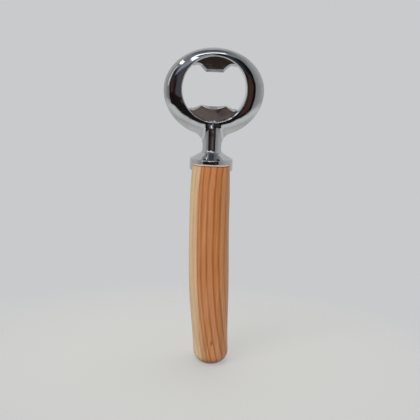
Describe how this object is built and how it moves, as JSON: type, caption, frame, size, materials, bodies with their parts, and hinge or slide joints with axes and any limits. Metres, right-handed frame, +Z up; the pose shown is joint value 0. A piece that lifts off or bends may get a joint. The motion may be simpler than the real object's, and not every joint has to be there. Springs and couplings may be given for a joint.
{
  "type": "bottle opener",
  "caption": "Souvenir bottle opener: chrome-plated cast ring head with a tongue and an eared seat, on a slightly bowed wooden handle.",
  "frame": {"origin": "the lowest level of the butt, under the centre of the bounding box, on the axis of the head", "axes": "+Z up along the axis of the stem and stud, -Y towards the front, +X to the right as seen from the front"},
  "size_m": [0.054, 0.0282, 0.1726],
  "materials": {
    "chrome_plate": "bright chrome plating on a zinc alloy casting",
    "steel": "zinc-plated steel",
    "brass": "plain machined brass",
    "yew_wood": "sanded and thinly oiled, pale sapwood down one side"
  },
  "bodies": {
    "root": {"opener_head": "chrome_plate", "threaded_stud": "steel", "threaded_insert": "brass", "handle": "yew_wood"}
  },
  "joints": []
}
